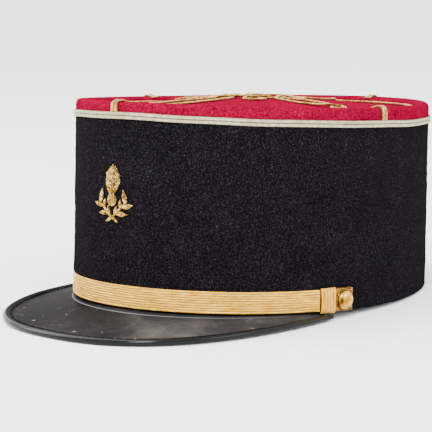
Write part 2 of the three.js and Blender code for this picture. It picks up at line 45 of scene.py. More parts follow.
# Sizes shared with the part. Three in a row are at the front, the side and the back.
SHIFT_Y = 19.3575  # the part is centred by this move, to 0.02 mm
HALF_WIDTH = 81.5
HALF_LENGTH = 106.2
FOOT_FLARE = 1.5
LEAN = math.tan(math.radians(2.2))
BAND_WALL = 3
SEAM = (98.7, 90.9, 87.1)
RIM = (4.8, 6.5, 7)
FOOT_FRONT_LIFT = 8.2
FOOT_ROUND = 0.9
CROWN_WALL = 2
RIM_WIDTH = 7.4
RIM_DROP = 3.6
TOP_DOME = 5.6
CLEARANCE = 0.3
TOP_INSET = RIM_WIDTH + CLEARANCE
PEAK_REACH = 42.4
PEAK_END = math.radians(70.5)
PEAK_THICK = 2
PEAK_SQUARENESS = 2.4
PEAK_TUCK = 2.6
BINDING = (4, 3.3)  # width and height
BINDING_END_HEIGHT = 2.3
BINDING_END_LIFT = 0.85
STRAP_HEIGHT = 10.7
STRAP_LIFT = 0.8
STRAP_END = math.radians(78)
TAB_EXTRA = 0.2
SLIDER = math.radians(69.7)
SLIDER_WIDTH = 8.6
BUTTON = math.radians(75)
BUTTON_RADIUS = 4.8
BUTTON_HEIGHT = 3.4
BADGE_HEIGHT = 27.5
BADGE_FOOT = 49.2

# Sizes of the looks alone
SEAM_BRAID = (3.5, 1.15)  # width and thickness of the threads, near those of the solid
RING_BRAID = (2.0, 1.1)
RIM_BRAID = (4.4, 0.9)
KNOT_BRAID = (1.9, 0.9)
STRAP_SINK = 0.65  # how far the strap presses the cloth in
CROSSING = 0.084  # where the badge's sprays cross, as a share of its height above its foot
FIBRE_WIDTH = 0.055
FIBRE_ROOT = 0.1  # how far inside the cloth a fibre starts
BAND_FIBRES, RIM_FIBRES, TOP_FIBRES = 34000, 15000, 16000
FLOOR_HALF = 2.2  # metres
WORLD_STRENGTH = 2.9


# Heights round the cap, as the part has them. s is -1 at the front and 1 at the back.
def three_heights(values, s):
    front, side, back = values
    return side + (back - front) / 2 * s + ((front + back) / 2 - side) * s * s


def foot_at(t):
    return FOOT_FRONT_LIFT * ((1 + np.cos(t)) / 2) ** 2


def seam_at(t):
    return three_heights(SEAM, -np.cos(t))


def rim_at(t):
    return three_heights(RIM, -np.cos(t))


def crest_at(t):
    return seam_at(t) + SEAM_BRAID[0] + rim_at(t)


def wall_point(t, height, out):
    """Points at angles and heights, moved out from the wall's face by a distance along its normal."""
    t, height, out = np.broadcast_arrays(np.asarray(t, float), height, out)
    half_length = HALF_LENGTH + FOOT_FLARE * (1 - height / SEAM[1])
    side, fore = np.sin(t), np.cos(t)
    nx, ny = half_length * side, -HALF_WIDTH * fore
    size = np.hypot(nx, ny)
    x = HALF_WIDTH * side + out * nx / size
    y = -half_length * fore + LEAN * height + out * ny / size + SHIFT_Y
    return np.stack([x, y, height * 1.0], -1)


def wall_normal(t):
    nx, ny = HALF_LENGTH * np.sin(t), -HALF_WIDTH * np.cos(t)
    size = np.hypot(nx, ny)
    return np.stack([nx / size, ny / size, np.zeros_like(nx)], -1)


def angle_for(length, t):
    return length / math.hypot(HALF_WIDTH * math.cos(t), HALF_LENGTH * math.sin(t))


def top_height(u, v):
    edge = three_heights(SEAM, v) + SEAM_BRAID[0] + three_heights(RIM, v) - RIM_DROP
    return edge + TOP_DOME * np.maximum(0, 1 - u * u - v * v) ** 1.5


TOP_CENTRE_Y = LEAN * top_height(0, 0) * 0.96 + SHIFT_Y  # midway between the edge's front and back
TOP_HALF = (HALF_WIDTH - TOP_INSET, HALF_LENGTH - TOP_INSET)


def top_point(u, v, lift):
    u, v, lift = np.broadcast_arrays(u, v, lift)
    return np.stack([u * TOP_HALF[0], TOP_CENTRE_Y + v * TOP_HALF[1], top_height(u, v) + lift], -1)


# Mesh making
def unit(vectors):
    return vectors / (np.linalg.norm(vectors, axis=-1, keepdims=True) + 1e-12)


def piece(name, points, faces, material, replaced=(), shade=None):
    """A mesh object from points in millimetres and a list of arrays of triangles or quads. shade is how
    open each point is to the light, from 0 in a groove to 1 on a rib."""
    mesh = bpy.data.meshes.new(name)
    points = np.asarray(points, float).reshape(-1, 3) * MM
    faces = [np.asarray(f, int) for f in faces if len(f)]
    corners = np.concatenate([f.ravel() for f in faces])
    sizes = np.concatenate([np.full(len(f), f.shape[1]) for f in faces])
    mesh.vertices.add(len(points))
    mesh.vertices.foreach_set("co", points.ravel())
    mesh.loops.add(len(corners))
    mesh.loops.foreach_set("vertex_index", corners)
    mesh.polygons.add(len(sizes))
    mesh.polygons.foreach_set("loop_start", np.concatenate([[0], np.cumsum(sizes)[:-1]]))
    mesh.polygons.foreach_set("use_smooth", np.full(len(sizes), True))
    mesh.update(calc_edges=True)
    openness = np.ones(len(points)) if shade is None else np.asarray(shade, float).ravel()
    mesh.attributes.new("shade", "FLOAT", "POINT").data.foreach_set("value", openness)
    mesh.validate()
    mesh.materials.append(material)
    made = bpy.data.objects.new(name, mesh)
    bpy.context.collection.objects.link(made)
    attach(made, "root")
    if replaced:
        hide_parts(*replaced)
    return made


def grid_faces(nu, nv, closed_u=False, closed_v=False, start=0):
    """Quads over a grid of nu by nv points, numbered along v first."""
    i = np.arange(nu if closed_u else nu - 1)
    j = np.arange(nv if closed_v else nv - 1)
    i, j = np.meshgrid(i, j, indexing="ij")
    i2, j2 = (i + 1) % nu, (j + 1) % nv
    quads = np.stack([i * nv + j, i2 * nv + j, i2 * nv + j2, i * nv + j2], -1)
    return quads.reshape(-1, 4) + start


def cap_faces(ring, flip=False):
    """A fan over one ring of point numbers."""
    ring = np.asarray(ring)
    fan = np.stack([np.full(len(ring) - 2, ring[0]), ring[1:-1], ring[2:]], -1)
    return fan[:, ::-1] if flip else fan


def smooth_line(points, rounds=3, closed=False):
    """Corner cutting, which rounds a line of points and keeps its ends."""
    points = np.asarray(points, float)
    for _ in range(rounds):
        a, b = (points, np.roll(points, -1, 0)) if closed else (points[:-1], points[1:])
        cut = np.stack([0.75 * a + 0.25 * b, 0.25 * a + 0.75 * b], 1).reshape(-1, points.shape[1])
        points = cut if closed else np.concatenate([points[:1], cut, points[-1:]])
    return points


def along_line(points, count, closed=False):
    """The same line with evenly spaced points."""
    points = np.asarray(points, float)
    if closed:
        points = np.concatenate([points, points[:1]])
    gone = np.concatenate([[0], np.cumsum(np.linalg.norm(np.diff(points, axis=0), axis=1))])
    wanted = np.linspace(0, gone[-1], count, endpoint=not closed)
    return np.stack([np.interp(wanted, gone, points[:, k]) for k in range(points.shape[1])], -1)


def soft_noise(nu, nv, cells_u, cells_v):
    """Smooth noise from -1 to 1 on a grid, joined end to end along u."""
    values = rng.uniform(-1, 1, (cells_u, cells_v + 1))
    u = np.arange(nu) / nu * cells_u
    v = np.linspace(0, cells_v - 1e-6, nv)
    i, j = u.astype(int), v.astype(int)
    fu, fv = u - i, v - j
    fu, fv = (fu * fu * (3 - 2 * fu))[:, None], (fv * fv * (3 - 2 * fv))[None, :]
    i2 = (i + 1) % cells_u
    low = values[i][:, j] * (1 - fu) + values[i2][:, j] * fu
    high = values[i][:, j + 1] * (1 - fu) + values[i2][:, j + 1] * fu
    return low * (1 - fv) + high * fv


# Materials
def new_material(name):
    material = bpy.data.materials.new(name)
    material.use_nodes = True
    nodes, links = material.node_tree.nodes, material.node_tree.links
    shader = nodes["Principled BSDF"]
    where = nodes.new("ShaderNodeTexCoord")
    return material, nodes, links, shader, where.outputs["Object"]


def noise_node(nodes, links, where, scale, detail=4, roughness=0.6, stretch=None):
    texture = nodes.new("ShaderNodeTexNoise")
    texture.inputs["Scale"].default_value = scale
    texture.inputs["Detail"].default_value = detail
    texture.inputs["Roughness"].default_value = roughness
    if stretch:
        mapping = nodes.new("ShaderNodeMapping")
        mapping.inputs["Scale"].default_value = stretch
        links.new(where, mapping.inputs["Vector"])
        links.new(mapping.outputs["Vector"], texture.inputs["Vector"])
    else:
        links.new(where, texture.inputs["Vector"])
    return texture.outputs["Fac"]


def ramp_node(nodes, links, value, stops):
    """Colour ramp with stops of (position, red, green, blue)."""
    ramp = nodes.new("ShaderNodeValToRGB")
    while len(ramp.color_ramp.elements) < len(stops):
        ramp.color_ramp.elements.new(0.5)
    for element, (position, *colour) in zip(ramp.color_ramp.elements, stops):
        element.position = position
        element.color = (*colour, 1)
    links.new(value, ramp.inputs["Fac"])
    return ramp.outputs["Color"]


def mix_colours(nodes, links, kind, first, second):
    mix = nodes.new("ShaderNodeMix")
    mix.data_type = "RGBA"
    mix.blend_type = kind
    mix.inputs[0].default_value = 1
    links.new(first, mix.inputs[6])
    links.new(second, mix.inputs[7])
    return mix.outputs[2]


def bump_node(nodes, links, height, strength, distance, under=None):
    bump = nodes.new("ShaderNodeBump")
    bump.inputs["Strength"].default_value = strength
    bump.inputs["Distance"].default_value = distance
    links.new(height, bump.inputs["Height"])
    if under:
        links.new(under, bump.inputs["Normal"])
    return bump.outputs["Normal"]


def shade_node(nodes):
    """How open a point is to the light, as piece wrote it."""
    attribute = nodes.new("ShaderNodeAttribute")
    attribute.attribute_name = "shade"
    return attribute.outputs["Fac"]


def cloth_material(name, dark, middle, light, sheen, sheen_tint):
    """Felted wool: mottled colour, fine nap in the bump, and a sheen."""
    material, nodes, links, shader, where = new_material(name)
    grain = noise_node(nodes, links, where, 1300, 3, 0.72)
    patches = noise_node(nodes, links, where, 90, 5, 0.6)
    fine = ramp_node(nodes, links, grain, [(0.3, *dark), (0.52, *middle), (0.75, *light)])
    broad = ramp_node(nodes, links, patches, [(0.3, 0.72, 0.72, 0.72), (0.7, 1, 1, 1)])
    links.new(mix_colours(nodes, links, "MULTIPLY", fine, broad), shader.inputs["Base Color"])
    normal = bump_node(nodes, links, grain, 0.7, 0.0004)
    links.new(normal, shader.inputs["Normal"])
    shader.inputs["Roughness"].default_value = 0.95
    shader.inputs["Specular IOR Level"].default_value = 0.0
    shader.inputs["Sheen Weight"].default_value = sheen
    shader.inputs["Sheen Roughness"].default_value = 0.5
    shader.inputs["Sheen Tint"].default_value = (*sheen_tint, 1)
    return material


def thread_material(name, colours, metallic, roughness, scale=700, stretch=None, groove=(0.12, 0.07, 0.04),
                    gloss=0.1):
    """Metallic or silk thread: dark, middle and light colours that change from thread to thread, with
    painted shade that makes it darker in the grooves."""
    dark, middle, light = colours
    material, nodes, links, shader, where = new_material(name)
    fine = noise_node(nodes, links, where, scale, 2, 0.6, stretch)
    patches = noise_node(nodes, links, where, 45, 3, 0.5)
    colour = ramp_node(nodes, links, fine, [(0.32, *dark), (0.5, *middle), (0.7, *light)])
    broad = ramp_node(nodes, links, patches, [(0.3, 0.88, 0.85, 0.8), (0.65, 1, 1, 1)])
    # Painted shade: the colour is multiplied towards the groove colour where shade is 0.
    painted_groove_shade = ramp_node(nodes, links, shade_node(nodes), [(0.0, *groove), (0.75, 1, 1, 1)])
    threads = mix_colours(nodes, links, "MULTIPLY", colour, broad)
    links.new(mix_colours(nodes, links, "MULTIPLY", threads, painted_groove_shade), shader.inputs["Base Color"])
    links.new(bump_node(nodes, links, fine, 0.35, 0.0001), shader.inputs["Normal"])
    shader.inputs["Metallic"].default_value = metallic
    shader.inputs["Roughness"].default_value = roughness
    shader.inputs["Specular IOR Level"].default_value = gloss
    return material


dark_cloth = cloth_material(
    "dark_cloth", (0.0012, 0.001, 0.0014), (0.0042, 0.0036, 0.0046), (0.025, 0.022, 0.026),
    0.008, (0.7, 0.65, 0.7))
dark_fibre = thread_material(
    "dark_fibre", [(0.004, 0.0035, 0.0045), (0.012, 0.011, 0.013), (0.085, 0.08, 0.088)],
    0, 0.9, gloss=0.0)
red_cloth = cloth_material(
    "red_cloth", (0.05, 0.0001, 0.005), (0.19, 0.0001, 0.0175), (0.40, 0.0004, 0.046),
    0.006, (1.0, 0.1, 0.3))
red_fibre = thread_material(
    "red_fibre", [(0.10, 0.0001, 0.009), (0.20, 0.0002, 0.02), (0.46, 0.006, 0.07)],
    0, 0.9, gloss=0.0)
silver = thread_material(
    "silver", [(0.28, 0.25, 0.16), (0.40, 0.36, 0.235), (0.50, 0.46, 0.32)],
    0.1, 0.55, 500, None, (0.2, 0.18, 0.15))
gold = thread_material(
    "gold", [(0.16, 0.07, 0.012), (0.60, 0.31, 0.045), (0.97, 0.62, 0.20)], 0.35, 0.4, 520)
dull_gold = thread_material(
    "dull_gold", [(0.10, 0.045, 0.01), (0.46, 0.235, 0.045), (0.78, 0.48, 0.15)],
    0.35, 0.4, 520, None, (0.12, 0.07, 0.03))
embroidery = thread_material(
    "embroidery", [(0.06, 0.025, 0.006), (0.62, 0.34, 0.045), (1.0, 0.82, 0.36)],
    0.3, 0.4, 800, None, (0.05, 0.03, 0.015))
STRAP_COLOURS = [(0.46, 0.22, 0.018), (0.62, 0.33, 0.028), (0.82, 0.50, 0.075)]
gold_strap = thread_material(
    "gold_strap", STRAP_COLOURS, 0.3, 0.4, 1400, (0.1, 0.1, 1), (0.3, 0.2, 0.1))
gold_upright = thread_material(
    "gold_upright", STRAP_COLOURS, 0.3, 0.4, 1400, (1, 1, 0.1), (0.12, 0.07, 0.03))
copper_braid = thread_material(
    "copper_braid", [(0.07, 0.022, 0.003), (0.20, 0.08, 0.010), (0.42, 0.20, 0.035)], 0.4, 0.38)
black_thread = thread_material(
    "black_thread", [(0.002, 0.002, 0.002), (0.010, 0.009, 0.0085), (0.09, 0.082, 0.075)],
    0, 0.6, gloss=0.0)


LEATHER_HALF = 0.08  # half the width over which the painted light changes across the leather, in metres


def leather_material():
    """Worn black leather: grey scuffs, pale specks and fine scratches. Painted light makes it darker to
    the wearer's right and lighter to the wearer's left, and a painted highlight makes a pale crease
    where shade is 0."""
    material, nodes, links, shader, where = new_material("black_leather")
    scuffs = noise_node(nodes, links, where, 26, 7, 0.62)
    colour = ramp_node(nodes, links, scuffs, [
        (0.3, 0.0108, 0.0108, 0.0122), (0.5, 0.027, 0.0248, 0.0248), (0.68, 0.068, 0.061, 0.056)])
    # Painted light: darker towards the wearer's right and lighter towards the wearer's left.
    place = nodes.new("ShaderNodeSeparateXYZ")
    links.new(where, place.inputs[0])
    across = nodes.new("ShaderNodeMapRange")
    across.inputs["From Min"].default_value = -LEATHER_HALF
    across.inputs["From Max"].default_value = LEATHER_HALF
    links.new(place.outputs["X"], across.inputs["Value"])
    painted_light_across = ramp_node(nodes, links, across.outputs["Result"], [
        (0.15, 0.33, 0.33, 0.34), (0.55, 0.56, 0.56, 0.56), (0.9, 1, 1, 1)])
    colour = mix_colours(nodes, links, "MULTIPLY", colour, painted_light_across)
    specks = noise_node(nodes, links, where, 210, 2, 0.5)
    pale = ramp_node(nodes, links, specks, [(0.70, 0, 0, 0), (0.76, 0.11, 0.105, 0.10)])
    scratches = noise_node(nodes, links, where, 120, 3, 0.6, (5, 1, 1))
    lines = ramp_node(nodes, links, scratches, [(0.66, 0, 0, 0), (0.72, 0.035, 0.033, 0.032)])
    both = mix_colours(nodes, links, "ADD", colour, pale)
    marked = mix_colours(nodes, links, "ADD", both, lines)
    # Painted highlight: a pale line added along the crease where shade is 0.
    painted_crease_highlight = ramp_node(nodes, links, shade_node(nodes), [(0.0, 0.11, 0.11, 0.12), (0.9, 0, 0, 0)])
    links.new(mix_colours(nodes, links, "ADD", marked, painted_crease_highlight), shader.inputs["Base Color"])
    gloss = ramp_node(nodes, links, scuffs, [(0.3, 0.34, 0.34, 0.34), (0.7, 0.55, 0.55, 0.55)])
    links.new(gloss, shader.inputs["Roughness"])
    grain = noise_node(nodes, links, where, 1300, 3, 0.6)
    rough = bump_node(nodes, links, scuffs, 0.25, 0.0006)
    links.new(bump_node(nodes, links, grain, 0.18, 0.0002, rough), shader.inputs["Normal"])
    shader.inputs["Specular IOR Level"].default_value = 0.003
    return material


def binding_material():
    """Black edge binding with light wear: polished outside, and dull where shade is 0."""
    material, nodes, links, shader, where = new_material("binding_leather")
    wear = noise_node(nodes, links, where, 70, 5, 0.6)
    colour = ramp_node(nodes, links, wear, [(0.35, 0.0006, 0.0006, 0.0008), (0.7, 0.003, 0.0028, 0.0029)])
    links.new(colour, shader.inputs["Base Color"])
    gloss = ramp_node(nodes, links, wear, [(0.3, 0.14, 0.14, 0.14), (0.75, 0.26, 0.26, 0.26)])
    dull = ramp_node(nodes, links, shade_node(nodes), [(0.0, 0.9, 0.9, 0.9), (1.0, 0, 0, 0)])
    links.new(mix_colours(nodes, links, "LIGHTEN", gloss, dull), shader.inputs["Roughness"])
    links.new(bump_node(nodes, links, wear, 0.12, 0.0003), shader.inputs["Normal"])
    shader.inputs["Specular IOR Level"].default_value = 0.16
    return material


def brass_material():
    """Polished gilt with tarnish in patches, and painted shade and a painted dark reflection where shade is
    0.
    """
    material, nodes, links, shader, where = new_material("gilded_brass")
    tarnish = noise_node(nodes, links, where, 240, 2, 0.5)
    colour = ramp_node(nodes, links, tarnish, [
        (0.30, 0.34, 0.15, 0.012), (0.5, 0.66, 0.36, 0.04), (0.68, 0.95, 0.64, 0.16)])
    # Painted shade and painted dark reflection: near black where shade is 0.
    painted_shade_and_reflection = ramp_node(nodes, links, shade_node(nodes), [(0.0, 0.05, 0.035, 0.02), (1.0, 1, 1, 1)])
    links.new(mix_colours(nodes, links, "MULTIPLY", colour, painted_shade_and_reflection), shader.inputs["Base Color"])
    gloss = ramp_node(nodes, links, tarnish, [(0.35, 0.3, 0.3, 0.3), (0.65, 0.12, 0.12, 0.12)])
    links.new(gloss, shader.inputs["Roughness"])
    shader.inputs["Metallic"].default_value = 1
    return material


black_leather = leather_material()
binding_leather = binding_material()
gilded_brass = brass_material()


# Fibres of the cloth nap: thin bent strips that lie close to a surface
def fibres(name, roots, normals, length, rise, material):
    count = len(roots)
    random = unit(rng.normal(size=(count, 3)))
    along = unit(random - normals * (random * normals).sum(-1, keepdims=True))
    across = np.cross(normals, along)
    long = (length * rng.uniform(0.5, 1.5, count))[:, None]
    bend = across * rng.normal(0, 0.25, count)[:, None] * long
    lift = normals * (rise * rng.uniform(0.3, 1.6, count))[:, None]
    half = across * FIBRE_WIDTH / 2
    start = roots - normals * FIBRE_ROOT
    middle = roots + along * long / 2 + lift + bend
    end = roots + along * long
    end = end + lift * rng.uniform(-0.3, 1.2, count)[:, None]
    tip = half * 0.4
    points = np.stack([start - half, start + half, middle - half, middle + half, end - tip, end + tip], 1)
    base = np.arange(count)[:, None] * 6
    quads = np.concatenate([base + np.array([[0, 1, 3, 2]]), base + np.array([[2, 3, 5, 4]])])
    piece(name, points, [quads], material)


# Band: a turned lower edge, an outer face with slight dents, and a plain inside
def make_band():
    around, rows = 560, 96
    t = np.arange(around) / around * 2 * math.pi
    low, high = foot_at(t)[:, None], seam_at(t)[:, None] + SEAM_BRAID[0] / 2
    rise = np.linspace(0, 1, rows)[None, :]
    dents = 0.22 * soft_noise(around, rows, 40, 7) + 0.10 * soft_noise(around, rows, 170, 30)
    edge = np.clip(rise * (high - low) / 3, 0, 1)
    level = FOOT_ROUND + rise * (high - low - FOOT_ROUND)
    round_turn = np.abs((t + math.pi) % (2 * math.pi) - math.pi)[:, None]
    # The cloth is pressed in under the strap, with a soft step just above it and past its ends
    below = np.clip((STRAP_LIFT + STRAP_HEIGHT + 0.6 - level) / 1.6, 0, 1)
    under_strap = below * np.clip((STRAP_END - round_turn) / 0.1, 0, 1)
    outer = wall_point(t[:, None], low + level, dents * edge * (1 - under_strap) - STRAP_SINK * under_strap)
    turn = np.linspace(0, math.pi / 2, 6)[None, :-1]
    foot_in = FOOT_ROUND * (1 - np.cos(turn)) + STRAP_SINK * under_strap[:, :1]
    foot = wall_point(t[:, None], low + FOOT_ROUND * (1 - np.sin(turn)), -foot_in)[:, ::-1]
    inner = wall_point(t[:, None], high - np.linspace(0, 1, 12)[None, :] * (high - low), -BAND_WALL)
    points = np.concatenate([foot, outer, inner], 1)
    faces = grid_faces(around, points.shape[1], True, True)
    piece("band_cloth", points, [faces], dark_cloth, ["band"])


def nap_on_band():
    t = rng.uniform(0, 2 * math.pi, BAND_FIBRES)
    low, high = foot_at(t), seam_at(t)
    height = low + rng.uniform(0.01, 1, BAND_FIBRES) * (high - low)
    fibres("band_nap", wall_point(t, height, 0), wall_normal(t), 1.3, 0.16, dark_fibre)


make_band()
nap_on_band()


# Crown: rolled rim and domed top. A point of the profile is how far in and how far up it lies, as
# shares of the rim's width and height.
RIM_PROFILE = [(0, 0), (0, 0.6), (0.04, 0.81), (0.13, 0.94), (0.28, 1), (0.46, 0.99), (0.7, 0.93),
               (0.93, 0.82)]
RIM_LINE = along_line(smooth_line(RIM_PROFILE), 40)


def rim_point(t, inward, height):
    base = seam_at(t) + SEAM_BRAID[0]
    return wall_point(t, base + height * rim_at(t), -inward * RIM_WIDTH)


def make_rim():
    around = 560
    t = (np.arange(around) / around * 2 * math.pi)[:, None]
    low = seam_at(t) + SEAM_BRAID[0] / 2 + CLEARANCE
    face = rim_point(t, RIM_LINE[None, :, 0], RIM_LINE[None, :, 1])
    dents = 0.16 * soft_noise(around, len(RIM_LINE), 60, 4)
    dents = dents + 0.08 * soft_noise(around, len(RIM_LINE), 220, 12)
    face = face + wall_normal(t) * dents[..., None]
    edge = crest_at(t) - RIM_DROP
    inside = [(-RIM_WIDTH, edge), (-RIM_WIDTH, edge - CROWN_WALL), (-RIM_WIDTH / 2, edge - 1.6),
              (-3, edge - CROWN_WALL), (-CROWN_WALL, edge - 2.5), (-CROWN_WALL, low)]
    rest = np.concatenate([wall_point(t, height, out) for out, height in inside], 1)
    points = np.concatenate([wall_point(t, low, 0), face, rest], 1)
    faces = grid_faces(around, points.shape[1], True, True)
    piece("rim_cloth", points, [faces], red_cloth, ["crown_rim"])


def make_top():
    around, rows = 420, 56
    t = np.arange(around) / around * 2 * math.pi
    share = np.linspace(0.0002, 1, rows)
    edge = wall_point(t, crest_at(t) - RIM_DROP, -TOP_INSET)
    centre = np.array([0, TOP_CENTRE_Y, 0])
    u, v = share[None, :] * np.sin(t)[:, None], -share[None, :] * np.cos(t)[:, None]
    dents = 0.12 * soft_noise(around, rows, 30, 9) * (1 - share[None, :] ** 6)
    upper = centre + (edge[:, None, :] - centre) * share[None, :, None]
    upper[..., 2] = top_height(u, v) + dents
    lower = upper[:, ::-4].copy()
    lower[..., 2] -= CROWN_WALL
    points = np.concatenate([upper, lower], 1)
    faces = grid_faces(around, points.shape[1], True, True)
    piece("top_cloth", points, [faces], red_cloth, ["crown_top"])


def nap_on_crown():
    t = rng.uniform(0, 2 * math.pi, RIM_FIBRES)
    pick = rng.integers(0, len(RIM_LINE) - 1, RIM_FIBRES)
    inward, height = RIM_LINE[pick, 0], RIM_LINE[pick, 1]
    roots = rim_point(t, inward, height)
    step = RIM_LINE[pick + 1] - RIM_LINE[pick]
    rise, back = step[:, 1] * rim_at(t), step[:, 0] * RIM_WIDTH
    normals = unit(wall_normal(t) * rise[:, None] + np.array([0, 0, 1.0]) * back[:, None])
    fibres("rim_nap", roots, normals, 1.1, 0.15, red_fibre)
    t = rng.uniform(0, 2 * math.pi, TOP_FIBRES)
    share = np.sqrt(rng.uniform(0, 0.97, TOP_FIBRES))
    roots = top_point(share * np.sin(t), -share * np.cos(t), 0)
    fibres("top_nap", roots, np.tile([0.0, 0, 1], (TOP_FIBRES, 1)), 1.1, 0.15, red_fibre)


make_rim()
make_top()
nap_on_crown()


# Braid: two rounded ribs with slanting threads, swept along a line
def braid(name, line, up, size, closed, material, replaced, pitch=0.9, ribs=2, weave=0.07):
    """line and up are arrays of evenly spaced points and outward directions. pitch is the length of one
    turn of the threads."""
    width, thick = size
    ahead = np.roll(line, -1, 0) - np.roll(line, 1, 0)
    if not closed:
        ahead[0], ahead[-1] = line[1] - line[0], line[-1] - line[-2]
    ahead = unit(ahead)
    side = unit(np.cross(ahead, up))
    steps = np.linalg.norm(np.diff(line, axis=0), axis=1)
    gone = np.concatenate([[0], np.cumsum(steps)])[:, None]
    across = np.linspace(-1, 1, 10 * ribs + 3)[None, :]
    place = (across * 0.5 + 0.5) * ribs
    within = place - np.clip(np.floor(place), 0, ribs - 1)
    hump = np.sqrt(np.clip(1 - (2 * within - 1) ** 2, 0, 1))
    lean = np.where(np.clip(np.floor(place), 0, ribs - 1) % 2 == 0, 1.0, -1.0)
    threads = np.sin(2 * math.pi * (gone / pitch + lean * within * 0.9))
    rise = thick * (0.42 + 0.58 * hump) + weave * threads * hump
    rise = np.broadcast_to(rise, (len(line), across.shape[1])).copy()
    rise[:, [0, -1]] = thick * 0.25
    face = line[:, None, :] + side[:, None, :] * (across[..., None] * width / 2)
    face = face + up[:, None, :] * rise[..., None]
    back = [line + side * width / 2, line - side * width / 2]
    points = np.concatenate([face, np.stack(back, 1)], 1)
    # Painted shade: low between the ribs and between the slanting threads, and 0 on the underside.
    open_face = np.broadcast_to(np.clip(hump, 0, 1) ** 1.8 * (0.8 + 0.2 * threads), rise.shape)
    shade = np.concatenate([open_face, np.zeros((len(line), 2))], 1)
    count = points.shape[1]
    faces = [grid_faces(len(line), count, closed, True)]
    if not closed:
        last = (len(line) - 1) * count
        faces += [cap_faces(np.arange(count)), cap_faces(np.arange(count) + last, True)]
    piece(name, points, faces, material, replaced, shade)


def make_seam_braid():
    t = np.arange(1500) / 1500 * 2 * math.pi
    line = wall_point(t, seam_at(t) + SEAM_BRAID[0] / 2, 0.05)
    line[:, 2] += 0.08 * soft_noise(1500, 2, 50, 1)[:, 0] + 0.14 * np.sin(5 * t + 1) + 0.09 * np.sin(13 * t)
    up = wall_normal(t)
    braid("seam_braid_threads", line, up, SEAM_BRAID, True, silver, ["seam_braid"], 0.75)


def make_ring_braid():
    t = np.arange(1400) / 1400 * 2 * math.pi
    reach = np.hypot(TOP_HALF[0] * np.sin(t), TOP_HALF[1] * np.cos(t))
    share = 1 - RING_BRAID[0] / 2 / reach
    line = wall_point(t, 0, -TOP_INSET - RING_BRAID[0] / 2)
    line[:, 1] += LEAN * (crest_at(t) - RIM_DROP)
    line[:, 2] = top_height(share * np.sin(t), -share * np.cos(t)) + 0.1
    up = np.tile([0.0, 0, 1], (len(t), 1))
    braid("ring_braid_threads", line, up, RING_BRAID, True, gold, ["ring_braid"], 0.7)


def make_rim_braids():
    for place, turn in (("front", 0), ("left", 90), ("back", 180), ("right", 270)):
        middle = math.radians(turn)
        profile = along_line(smooth_line([(0, 0.02)] + RIM_PROFILE[1:]), 70)
        line = rim_point(np.full(len(profile), middle), profile[:, 0], profile[:, 1])
        ahead = unit(np.gradient(line, axis=0))
        tangent = np.array([math.cos(middle), math.sin(middle), 0])
        up = unit(np.cross(tangent, ahead))
        up *= np.sign((up * wall_normal(np.array([middle]))).sum(-1, keepdims=True) + up[:, 2:] + 1e-9)
        line = line + up * 0.08
        name = f"rim_braid_threads_{place}"
        braid(name, line, up, RIM_BRAID, False, dull_gold, [f"rim_braid_{place}"], 0.8)


# Knot: the same tables as the part has. A row is how far along a loop and how far aside a control point
# lies, and how much it is lifted over the other cord. The share after a table is how far out its tip is.
KNOT_START = 0.15
LONG_LOOP = [(0, -0.055, 1), (0.1, 0.02, 1), (0.26, 0.07, 0), (0.5, 0.085, 0), (0.73, 0.06, 0.4),
             (0.86, 0.01, 1), (0.94, -0.04, 0.5)]
SHORT_LOOP = [(0, -0.055, 1), (0.28, 0.015, 1), (0.6, 0.06, 0.2), (0.88, 0.05, 0)]
SHORT, SIDE, FRONT, BACK = (SHORT_LOOP, 0.3), (LONG_LOOP, 0.75), (LONG_LOOP, 0.92), (LONG_LOOP, 0.75)
LOOPS = [FRONT, SHORT, SIDE, SHORT, BACK, SHORT, SIDE, SHORT]


def knot_controls():
    points = []
    for turn, (half, tip) in enumerate(LOOPS):
        direction = turn * math.pi / 4
        rows = [(a, b, 0) for a, b, _ in half] + [(1, 0, 0)] + [(a, -b, over) for a, b, over in half[::-1]]
        for way, aside, over in rows:
            along = KNOT_START + way * (tip - KNOT_START)
            u = along * math.sin(direction) + aside * math.cos(direction)
            v = -along * math.cos(direction) + aside * math.sin(direction)
            points.append((u, v, over))
    return np.array(points)


def curve_through(points, steps):
    """Closed centripetal curve through control points."""
    n = len(points)
    rows = []
    for i in range(n):
        p0, p1, p2, p3 = (points[(i + k - 1) % n] for k in range(4))
        d0, d1, d2 = (max(np.linalg.norm(b - a) ** 0.5, 1e-4) for a, b in ((p0, p1), (p1, p2), (p2, p3)))
        t1 = ((p1 - p0) / d0 - (p2 - p0) / (d0 + d1) + (p2 - p1) / d1) * d1
        t2 = ((p2 - p1) / d1 - (p3 - p1) / (d1 + d2) + (p3 - p2) / d2) * d1
        w = (np.arange(steps) / steps)[:, None]
        bend = (-3 * p1 + 3 * p2 - 2 * t1 - t2) * w ** 2
        rows.append(p1 + t1 * w + bend + (2 * p1 - 2 * p2 + t1 + t2) * w ** 3)
    return np.concatenate(rows)


def make_knot():
    shares = curve_through(knot_controls(), 40)
    raw = top_point(shares[:, 0], shares[:, 1], 0.12 + shares[:, 2] * 0.95)
    line = along_line(raw, 2600, True)
    up = np.tile([0.0, 0, 1], (len(line), 1))
    braid("knot_threads", line, up, KNOT_BRAID, True, gold, ["knot"], 0.7)


make_seam_braid()
make_ring_braid()
make_rim_braids()
make_knot()


